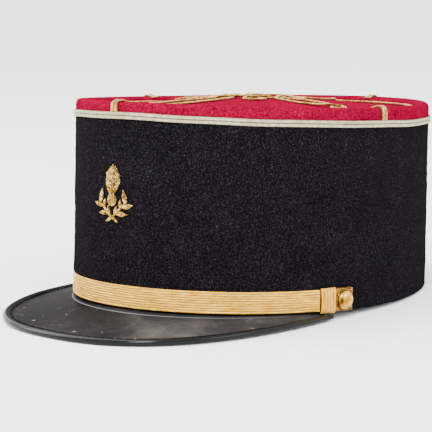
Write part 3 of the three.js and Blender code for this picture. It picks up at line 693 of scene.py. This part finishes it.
# Threads: round tubes along short lines, many in one piece
def tubes(name, lines, radius, material, replaced=(), sides=6, facing=(0, -1, 0)):
    """lines is an array (count, points, 3). Each tube has painted shade on the side turned away from
    facing.
    """
    lines = np.asarray(lines, float)
    count, steps, _ = lines.shape
    radius = np.broadcast_to(np.asarray(radius, float).reshape(-1, 1), (count, 1))
    ahead = unit(np.gradient(lines, axis=1))
    helper = np.where(np.abs(ahead[..., 2:]) > 0.8, np.array([1.0, 0, 0]), np.array([0, 0, 1.0]))
    side = unit(np.cross(ahead, helper))
    other = np.cross(ahead, side)
    turn = np.arange(sides) / sides * 2 * math.pi
    taper = np.sin(np.linspace(0.25, math.pi - 0.25, steps)) ** 0.4
    ring = side[:, :, None] * np.cos(turn)[:, None] + other[:, :, None] * np.sin(turn)[:, None]
    points = lines[:, :, None] + ring * (radius * taper)[..., None, None]
    first = np.arange(sides)
    ends = np.concatenate([cap_faces(first), cap_faces(first + (steps - 1) * sides, True)])
    base = (np.arange(count) * steps * sides)[:, None, None]
    quads = (grid_faces(steps, sides, False, True)[None] + base).reshape(-1, 4)
    caps = (ends[None] + base).reshape(-1, 3)
    # Painted shade: darker on the side turned away from facing, and some tubes darker at random.
    turned = 0.5 + 0.5 * (ring * np.array(facing, float)).sum(-1)
    shade = np.clip(turned * 1.6 - 0.5, 0, 1) * rng.uniform(0.25, 1, (count, 1, 1))
    piece(name, points, [quads, caps], material, replaced, shade)


# Badge: satin stitches over each leaf, coiled metal thread over the flame and ball
# A row is where a leaf begins and ends, x and z, and its half width, in shares of the badge's height
SPRAY_LEAVES = [
    (0.3, 0.26, 0.25, 0.495, 0.047), (0.24, 0.19, 0.444, 0.244, 0.045), (0.2, 0.16, 0.182, 0.309, 0.036),
    (0.1, 0.08, 0.335, 0.073, 0.044), (0.07, 0.04, 0.095, 0.2, 0.034)]
SPRAY_STEMS = [(-0.138, -0.07, 0.05, 0.05, 0.026), (-0.03, -0.02, 0.34, 0.31, 0.022)]
FLAME = np.array([(0.05, 0.39), (0.095, 0.473), (0.142, 0.545), (0.153, 0.618), (0.138, 0.709),
                  (0.08, 0.81), (0.0, 0.916)])
BALL_Z = 0.313
BADGE_ANGLE = angle_for(1, 0)


def on_badge(x, z, rise):
    """Points of the badge's plane, in shares of its height, laid on the front of the band."""
    x, z, rise = np.broadcast_arrays(x, z, rise)
    height = BADGE_FOOT + (CROSSING + z) * BADGE_HEIGHT
    return wall_point(x * BADGE_HEIGHT * BADGE_ANGLE, height, 0.15 + rise)


def leaf_stitches(leaf, mirror, gap=0.0105):
    """Stitches slant from the leaf's middle line to its two edges."""
    base_x, base_z, tip_x, tip_z, half = leaf
    base, tip = np.array([mirror * base_x, base_z]), np.array([mirror * tip_x, tip_z])
    length = np.linalg.norm(tip - base)
    along = (tip - base) / length
    aside = np.array([-along[1], along[0]])
    rows = []
    for share in np.arange(0, 1.0, gap / length):
        wide = half * (0.45 + 0.6 * math.sin(math.pi * min(1, share + 0.12)) ** 0.8) * (1 - share ** 4)
        for sign in (-1, 1):
            w = np.linspace(-0.12, 1, 5)[:, None]
            start = base + along * length * share * 0.92
            flat = start + sign * aside * wide * w + along * 0.035 * np.maximum(0, w) ** 1.2
            rise = 1.15 * np.sqrt(np.clip(1 - (0.92 * w[:, 0]) ** 2, 0.02, 1))
            rise = rise * (0.75 + 0.25 * math.sin(math.pi * share))
            rows.append(on_badge(flat[:, 0], flat[:, 1], rise - 0.12 + rng.uniform(-0.05, 0.05)))
    return rows


def make_sprays():
    lines = []
    for mirror in (-1, 1):
        for leaf in SPRAY_LEAVES + SPRAY_STEMS:
            lines += leaf_stitches(leaf, mirror)
    tubes("badge_spray_stitches", lines, 0.13, embroidery, ["badge_sprays"])


def coil_bead(x, z, turn, length, rise):
    """A short length of coiled metal thread, as one wavy tube."""
    w = np.linspace(-0.5, 0.5, 7)
    wave = 0.012 * np.sin(np.linspace(0, 2 * math.pi, 7))
    px = x + w * length * math.cos(turn) - wave * math.sin(turn)
    pz = z + w * length * math.sin(turn) + wave * math.cos(turn)
    return on_badge(px, pz, rise + 0.25 * np.cos(w * math.pi))


def make_flame():
    """Beads over the flame, tongues up its sides and at its tip, and rings of beads over the ball."""
    lines = []
    radii = []
    for z in np.arange(0.39, 0.90, 0.027):
        half = np.interp(z, FLAME[:, 1], FLAME[:, 0])
        count = max(1, int(round(2 * half / 0.036)))
        for k in range(count):
            x = (k + 0.5) / count * 2 * half - half if count > 1 else 0
            x += rng.uniform(-0.004, 0.004)
            rise = 0.95 * math.sqrt(max(0.05, 1 - (x / (half + 0.012)) ** 2)) * rng.uniform(0.8, 1.1)
            lines.append(coil_bead(x, z + rng.uniform(-0.006, 0.006), rng.uniform(0.9, 2.2), 0.034, rise))
            radii.append(0.27)
    for z in np.arange(0.45, 0.87, 0.036):
        half = np.interp(z, FLAME[:, 1], FLAME[:, 0])
        for sign in (-1, 1):
            w = np.linspace(0, 1, 7)
            reach = rng.uniform(0.05, 0.08) * (1.7 - z)
            px = sign * (half - 0.025 + reach * 0.62 * w)
            lines.append(on_badge(px, z + reach * w, 0.55 - 0.35 * w))
            radii.append(0.24)
    w = np.linspace(0, 1, 7)
    for lean in (-0.02, 0, 0.018):
        lines.append(on_badge(lean * w, 0.82 + (0.115 - abs(lean) * 2) * w, 0.6 - 0.4 * w))
        radii.append(0.2)
    for ring, rise, count in ((0.092, 0.45, 18), (0.062, 0.9, 12), (0.03, 1.1, 7)):
        for k in range(count):
            turn = k / count * 2 * math.pi
            x, z = ring * math.cos(turn), BALL_Z + ring * math.sin(turn)
            lines.append(coil_bead(x, z, turn + math.pi / 2, 2 * math.pi * ring / count * 1.15, rise))
            radii.append(0.34)
    tubes("badge_flame_threads", lines, np.array(radii), embroidery, ["badge_flame"], 7)


make_sprays()
make_flame()


# Peak
def binding_line(turn):
    power = 2 / PEAK_SQUARENESS
    end = wall_point(PEAK_END, foot_at(PEAK_END), CLEARANCE + BINDING[0] / 2)
    front = wall_point(0, foot_at(0), PEAK_REACH - BINDING[0] / 2)
    side, fore = np.sin(turn), np.clip(np.cos(turn), 0, 1)
    x = end[0] * np.sign(side) * np.abs(side) ** power
    y = end[1] - (end[1] - front[1]) * fore ** power
    return np.stack([x, y], -1)


def binding_out(turn):
    step = 0.004
    low = binding_line(np.maximum(turn - step, -math.pi / 2))
    high = binding_line(np.minimum(turn + step, math.pi / 2))
    d = high - low
    return unit(np.stack([d[..., 1], -d[..., 0]], -1))


def peak_turns(count):
    share = np.linspace(-1, 1, count)
    return math.pi / 2 * np.sign(share) * (1 - (1 - np.abs(share)) ** 1.25)


# How the upper face falls, as shares of the way from the wall to the binding and of the drop
PEAK_FALL = [(0, 0), (0.05, 0.02), (0.08, 0.2), (0.12, 0.23), (0.4, 0.47), (0.7, 0.76), (1, 1)]
CREASE_WAY = 0.095  # where the crease along the band lies on that way


def peak_rows(turn):
    """Inner and outer end of each row across the peak's upper face."""
    angle = turn / (math.pi / 2) * PEAK_END
    inner = wall_point(angle, foot_at(angle) - CLEARANCE, -PEAK_TUCK)
    edge = binding_line(turn) - binding_out(turn) * (BINDING[0] / 2 + CLEARANCE * 0.2)
    outer = np.concatenate([edge, np.full((len(turn), 1), BINDING[1] * 0.5 + PEAK_THICK / 2)], -1)
    on_wall = wall_point(angle, foot_at(angle), 0)
    outer_reach = np.hypot(outer[:, 0], outer[:, 1] - SHIFT_Y)
    wall_reach = np.hypot(on_wall[:, 0], on_wall[:, 1] - SHIFT_Y)
    clear = np.hypot(*(outer - on_wall)[:, :2].T)
    keep = (outer_reach > wall_reach) & (clear > PEAK_THICK)
    return inner[keep], outer[keep]


def make_peak():
    inner, outer = peak_rows(peak_turns(300))
    fall = along_line(smooth_line(PEAK_FALL, 2), 90)
    way, drop = fall[None, :, :1], fall[None, :, 1]
    upper = inner[:, None, :] + (outer - inner)[:, None, :] * way
    upper[..., 2] = inner[:, None, 2] + (outer - inner)[:, None, 2] * drop
    waves = 0.12 * soft_noise(len(inner), 90, 9, 4) * np.sin(way[..., 0] * math.pi)
    upper[..., 2] += waves
    lower = upper[:, ::-3].copy()
    lower[..., 2] -= PEAK_THICK
    points = np.concatenate([upper, lower], 1)
    count = points.shape[1]
    ring = np.arange(count)
    faces = [grid_faces(len(inner), count, False, True), cap_faces(ring),
             cap_faces(ring + (len(inner) - 1) * count, True)]
    # Painted highlight mask: 0 along the crease, where the leather gets a pale line.
    crease = 1 - np.exp(-((fall[None, :, 0] - CREASE_WAY) / 0.011) ** 2)
    underside = np.ones((len(inner), lower.shape[1]))
    shade = np.concatenate([np.broadcast_to(crease, waves.shape), underside], 1)
    piece("peak_leather", points, faces, black_leather, ["peak"], shade)


BINDING_SECTION = [(-0.5, 0.4), (-0.32, 0.06), (-0.1, 0), (0.22, 0), (0.44, 0.16), (0.5, 0.5), (0.36, 0.86),
                   (0.08, 1), (-0.28, 0.94), (-0.5, 0.72)]


def binding_frame(turn):
    middle, out = binding_line(turn), binding_out(turn)
    fullness = np.minimum(1, 2.5 * np.cos(turn))
    height = BINDING_END_HEIGHT + (BINDING[1] - BINDING_END_HEIGHT) * fullness
    lift = BINDING_END_LIFT * np.sin(turn) ** 2
    return middle, out, height, lift


def make_binding():
    along, around = 700, 36
    turn = peak_turns(along)
    middle, out, height, lift = binding_frame(turn)
    section = along_line(smooth_line(BINDING_SECTION, 2, True), around, True)
    flat = middle[:, None, :] + out[:, None, :] * (section[None, :, :1] * BINDING[0])
    z = lift[:, None] + section[None, :, 1] * height[:, None]
    points = np.concatenate([flat, z[..., None]], -1)
    ring = np.arange(around)
    faces = [grid_faces(along, around, False, True), cap_faces(ring),
             cap_faces(ring + (along - 1) * around, True)]
    outer = np.broadcast_to(np.clip((section[:, 0] - 0.03) / 0.2, 0, 1), z.shape)
    piece("binding_roll", points, faces, binding_leather, ["peak_binding"], outer)


def make_stitches():
    """A row of stitches on the peak, just inside its binding."""
    turn = np.linspace(-1.45, 1.45, 2400)
    line = binding_line(turn) - binding_out(turn) * (BINDING[0] / 2 + 0.5)
    even = along_line(line, 190)
    step = np.diff(even, axis=0)
    z = BINDING[1] * 0.5 + PEAK_THICK / 2 + 0.12
    w = np.linspace(0.1, 0.78, 6)
    lines = []
    for start, move in zip(even[:-1], step):
        x, y = start[0] + move[0] * w, start[1] + move[1] * w
        lines.append(np.stack([x, y, z + 0.22 * np.sin(np.linspace(0, math.pi, 6))], -1))
    tubes("peak_stitches", lines, 0.28, black_thread, (), 6, (0, 0, 1))


make_peak()
make_binding()
make_stitches()


# Chin strap
SLIDER_HALF = angle_for(SLIDER_WIDTH / 2, SLIDER)
SLIDER_THICK = 2.75
SLIDER_TALL = 12.2
SLIDER_MARGIN = 0.75  # how far a slider reaches past each edge of the strap
STRAP_THICK = 0.95
STRAP_RUN = 230  # length of the strap between the sliders
STRAP_RAISE = 1.25  # how much further out the strap lies inside a slider
TAB_OUT = 1.75  # how far the strap's doubled end stands out from the wall


def strap_edges(t):
    past = (np.abs(t) - SLIDER) / SLIDER_HALF
    extra = TAB_EXTRA * np.clip(past, 0, 1)
    low = foot_at(t) + STRAP_LIFT
    return low - extra, low + STRAP_HEIGHT + extra


def strap_raise(t):
    return np.clip((1.4 - np.maximum(0, SLIDER - np.abs(t)) / SLIDER_HALF) / 0.5, 0, 1)


def make_strap():
    along, across, cords = 1000, 78, 9
    t = np.linspace(-SLIDER, SLIDER, along)[:, None]
    low, high = strap_edges(t)
    w = np.linspace(0, 1, across)[None, :]
    cord = np.abs(np.sin(w * cords * math.pi)) ** 0.5
    gone = np.linspace(0, STRAP_RUN, along)[:, None]
    weave = 0.05 * np.sin(gone / 0.8 * 2 * math.pi + (np.floor(w * cords) % 2) * math.pi)
    front = strap_raise(t) * STRAP_RAISE - STRAP_SINK + STRAP_THICK * (0.6 + 0.4 * cord) + weave * cord
    front[:, [0, -1]] = 0.2 - STRAP_SINK
    face = wall_point(t, low + w * (high - low), front)
    back = wall_point(t, np.concatenate([high, low], 1), -STRAP_SINK)
    points = np.concatenate([face, back], 1)
    # Painted shade: darker between the cords, where cord is low, and 0 on the back.
    shade = np.concatenate([np.broadcast_to(cord, front.shape), np.zeros((along, 2))], 1)
    count = points.shape[1]
    ring = np.arange(count)
    faces = [grid_faces(along, count, False, True), cap_faces(ring),
             cap_faces(ring + (along - 1) * count, True)]
    piece("strap_braid", points, faces, gold_strap, ["chin_strap"], shade)


def make_tab(side, sign):
    """The strap's doubled end: a flat pad on the wall with a woven relief over its face."""
    cells = 60
    t = np.linspace(sign * SLIDER, sign * STRAP_END, cells)[:, None]
    low, high = strap_edges(t)
    a = np.linspace(0, 1, cells)[:, None]
    w = np.linspace(0, 1, cells)[None, :]
    out = TAB_OUT + 0.06 * np.sin(w * 11 * 2 * math.pi) * np.sin(a * 12 * 2 * math.pi)
    out[:, [0, -1]] = 0.05
    out[[0, -1], :] = 0.05
    face = wall_point(t, low + w * (high - low), out)
    piece(f"strap_tab_{side}", face, [grid_faces(cells, cells)], copper_braid)


def make_tab_border(side, sign):
    """A light cord round the three free edges of the strap's end."""
    t = np.linspace(SLIDER + SLIDER_HALF * 0.8, STRAP_END, 40)
    low, high = strap_edges(t)
    end_low, end_high = strap_edges(np.array([STRAP_END]))
    upright = end_low + 0.35 + np.linspace(0, 1, 30) * (end_high - end_low - 0.7)
    path = np.concatenate([
        np.stack([t, low + 0.35], -1),
        np.stack([np.full(30, STRAP_END - 0.004), upright], -1),
        np.stack([t[::-1], high[::-1] - 0.35], -1)])
    line = wall_point(sign * path[:, 0], path[:, 1], TAB_OUT)
    line = along_line(line, 150)
    tubes(f"strap_tab_border_{side}", line[None], 0.42, gold, (), 8)


def make_slider(side, sign):
    columns, around = 46, 96
    a = np.linspace(-1, 1, columns)[:, None]
    t = SLIDER + a * SLIDER_HALF
    low, high = strap_edges(t)
    low, high = low - SLIDER_MARGIN, high + SLIDER_MARGIN
    corners = [(0, 0), (SLIDER_THICK, 0), (SLIDER_THICK, SLIDER_TALL), (0, SLIDER_TALL)]
    box = along_line(smooth_line(corners, 2, True), around, True)
    out, share = box[None, :, 0] + 0.05, box[None, :, 1] / SLIDER_TALL
    ridge = np.abs(np.sin(a * 5 * math.pi)) ** 0.6
    lift = 0.2 * ridge - 0.2
    # Painted shade: darker between the slider's ridges, where ridge is low.
    shade = np.broadcast_to(ridge, (columns, around))
    points = wall_point(sign * t, low + share * (high - low), out + lift * (out > 1.5))
    ring = np.arange(around)
    faces = [grid_faces(columns, around, False, True), cap_faces(ring),
             cap_faces(ring + (columns - 1) * around, True)]
    replaced = [f"strap_slider_{side}"]
    piece(f"slider_braid_{side}", points, faces, gold_upright, replaced, shade)


# From the rim to the top of the dome, as shares of the button's radius and height
BUTTON_PROFILE = [(1.02, 0.0), (1.04, 0.06), (1.0, 0.14), (0.95, 0.17), (0.96, 0.24), (0.97, 0.36),
                  (0.91, 0.55), (0.78, 0.74), (0.56, 0.9), (0.3, 0.98), (0.0, 1.0)]


def make_button(side, sign):
    """A dome with a groove round its foot, painted shade in that groove, and a painted dark reflection
    towards the wearer's front.
    """
    around, rows = 72, 44
    line = along_line(smooth_line(BUTTON_PROFILE, 2), rows)
    t = np.array([sign * BUTTON])
    low, high = strap_edges(t)
    centre = wall_point(t, (low + high) / 2, 1.95)[0]
    outward = unit(wall_point(t, (low + high) / 2, 3)[0] - centre)
    aside = unit(np.cross(outward, [0, 0, 1.0]))
    upward = np.cross(aside, outward)
    turn = np.arange(around) / around * 2 * math.pi
    ring = aside * np.cos(turn)[:, None] + upward * np.sin(turn)[:, None]
    points = centre + ring[:, None] * (line[None, :, :1] * BUTTON_RADIUS)
    points = points + outward * (line[None, :, 1:] * BUTTON_HEIGHT)
    # Painted shade: darker round the groove at the dome's foot.
    open_face = np.interp(line[None, :, 1], [0, 0.2, 0.4, 1], [0.4, 0.25, 0.9, 1])
    # Painted dark reflection: a dark patch on one side of the dome.
    forward, above = np.cos(turn)[:, None] * line[None, :, 0], np.sin(turn)[:, None] * line[None, :, 0]
    painted_dark_reflection = 0.97 * np.exp(-((forward - 0.74) / 0.3) ** 2 - (above / 0.55) ** 2)
    shade = open_face * (1 - painted_dark_reflection)
    faces = grid_faces(around, rows, True)
    piece(f"button_dome_{side}", points, [faces], gilded_brass, [f"button_{side}"], shade)


SIDES = (("left", 1), ("right", -1))
make_strap()
for side, sign in SIDES:
    make_tab(side, sign)
    make_tab_border(side, sign)
for side, sign in SIDES:
    make_slider(side, sign)
for side, sign in SIDES:
    make_button(side, sign)


# Floor, light and camera
def make_floor():
    mesh = bpy.data.meshes.new("floor")
    corners = [(x * FLOOR_HALF, y * FLOOR_HALF, 0) for x, y in ((-1, -1), (1, -1), (1, 1), (-1, 1))]
    mesh.from_pydata(corners, [], [(0, 1, 2, 3)])
    floor = bpy.data.objects.new("floor", mesh)
    bpy.context.collection.objects.link(floor)
    material, nodes, links, shader, where = new_material("floor_paper")
    tone = noise_node(nodes, links, where, 3, 2, 0.5)
    colour = ramp_node(nodes, links, tone, [(0.3, 0.90, 0.90, 0.90), (0.7, 0.93, 0.93, 0.93)])
    links.new(colour, shader.inputs["Base Color"])
    shader.inputs["Roughness"].default_value = 0.9
    mesh.materials.append(material)


def area_light(name, place, target, size, power):
    data = bpy.data.lights.new(name, "AREA")
    data.shape = "RECTANGLE"
    data.size, data.size_y = size
    data.energy = power
    light = bpy.data.objects.new(name, data)
    bpy.context.collection.objects.link(light)
    back = unit(np.array(place, float) - np.array(target, float))
    right = unit(np.cross([0, 0, 1.0], back))
    up = np.cross(back, right)
    basis = np.stack([right, up, back], 1)
    pose = np.eye(4)
    pose[:3, :3] = basis
    pose[:3, 3] = place
    light.matrix_world = Matrix(pose.tolist())


# Name, place and size in metres, and power in watts
LIGHTS = [
    ("key", (0.75, -1.3, 1.3), (0.5, 0.4), 42),
    ("fill", (-1.4, -0.9, 0.9), (0.9, 1.1), 22),
    ("side", (1.7, 0.1, 0.8), (0.8, 0.9), 12),
    ("over", (-0.9, -0.2, 1.7), (0.3, 2.2), 40),
]


def make_lights():
    for name, place, size, power in LIGHTS:
        area_light(name, place, (0, 0, 0.05), size, power)
    world = bpy.data.worlds.new("studio")
    bpy.context.scene.world = world
    world.use_nodes = True
    background = world.node_tree.nodes["Background"]
    background.inputs["Color"].default_value = (1, 1, 1, 1)
    background.inputs["Strength"].default_value = WORLD_STRENGTH


# The camera was fitted in the band's own upright frame, which leans back in the part's frame
CAMERA_AZIMUTH = 0.7210
CAMERA_ELEVATION = 0.1140
CAMERA_ROLL = 0.01397
CAMERA_DISTANCE = 828.45
CAMERA_SLIDE = (-21.07, -12.76)
CAMERA_TARGET_Z = 50
FOCAL_PIXELS = 1560.9
IMAGE_PIXELS = 432
SENSOR_WIDTH = 36
BAND_LIFT = 2.88  # how far the band's own frame lies above the part's


def make_camera():
    az, el, roll = CAMERA_AZIMUTH, CAMERA_ELEVATION, CAMERA_ROLL
    back = np.array([math.sin(az) * math.cos(el), -math.cos(az) * math.cos(el), math.sin(el)])
    level = np.array([math.cos(az), math.sin(az), 0])
    rise = np.cross(back, level)
    right = math.cos(roll) * level + math.sin(roll) * rise
    up = -math.sin(roll) * level + math.cos(roll) * rise
    place = np.array([0, 0, CAMERA_TARGET_Z]) + back * CAMERA_DISTANCE
    place = place + right * CAMERA_SLIDE[0] + up * CAMERA_SLIDE[1]
    lean = math.atan(LEAN)
    turn = np.array([[1, 0, 0], [0, math.cos(lean), math.sin(lean)], [0, -math.sin(lean), math.cos(lean)]])
    pose = np.eye(4)
    pose[:3, :3] = turn @ np.stack([right, up, back], 1)
    pose[:3, 3] = (turn @ place + np.array([0, LEAN * BAND_LIFT + SHIFT_Y, BAND_LIFT])) * MM
    data = bpy.data.cameras.new("camera")
    data.sensor_width = SENSOR_WIDTH
    data.lens = FOCAL_PIXELS / IMAGE_PIXELS * SENSOR_WIDTH
    data.clip_start, data.clip_end = 0.05, 20
    camera = bpy.data.objects.new("camera", data)
    bpy.context.collection.objects.link(camera)
    camera.matrix_world = Matrix(pose.tolist())
    bpy.context.scene.camera = camera


make_floor()
make_lights()
make_camera()
